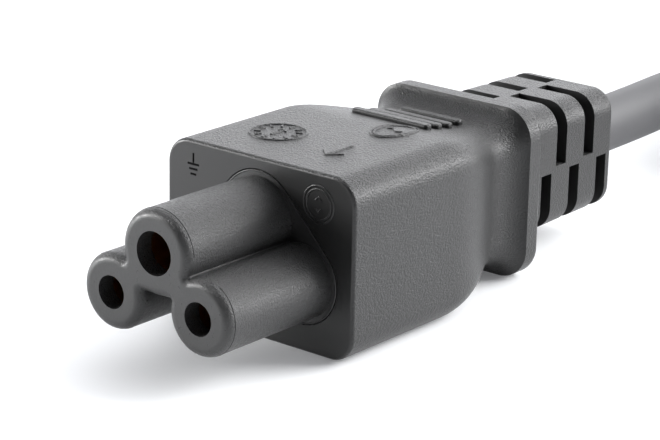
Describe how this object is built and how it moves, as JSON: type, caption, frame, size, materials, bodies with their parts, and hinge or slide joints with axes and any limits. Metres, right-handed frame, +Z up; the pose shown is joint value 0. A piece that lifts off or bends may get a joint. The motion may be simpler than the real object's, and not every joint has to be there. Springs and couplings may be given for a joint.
{
  "type": "cloverleaf power connector",
  "caption": "Cloverleaf power connector for a laptop supply: lobed nose with pin holes, ribbed grip and slotted strain relief, on a black cord folded into a hank with a mains plug.",
  "frame": {"origin": "middle of the connector's length, on the surface that its flat underside lies on", "axes": "-Y out of the nose, +Y along the cord, +Z up through the earth hole's side, +X to the neutral hole"},
  "size_m": [0.042, 0.2501, 0.025],
  "materials": {
    "black_pvc": "fine matt grain",
    "black_insert": "smooth, slight sheen",
    "cord_jacket": "satin",
    "hook_and_loop": "napped",
    "contact_brass": "drawn",
    "copper_strand": "stranded",
    "core_brown": "satin",
    "core_blue": "satin",
    "core_green_yellow": "satin",
    "nickel_plate": "nickel plated brass"
  },
  "bodies": {
    "root": {"nose_insert": "black_insert", "overmould": "black_pvc", "jacket_end": "cord_jacket", "line_contact": "contact_brass", "neutral_contact": "contact_brass", "earth_contact": "contact_brass", "line_conductor": "copper_strand", "neutral_conductor": "copper_strand", "earth_conductor": "copper_strand", "line_core": "core_brown", "neutral_core": "core_blue", "earth_core": "core_green_yellow", "cord_lead": "cord_jacket", "cord_hank": "cord_jacket", "cord_tail": "cord_jacket", "hank_strap": "hook_and_loop", "plug_body": "black_pvc", "plug_bridge": "black_insert", "plug_line_blade": "nickel_plate", "plug_neutral_blade": "nickel_plate", "plug_earth_pin": "nickel_plate"}
  },
  "joints": []
}
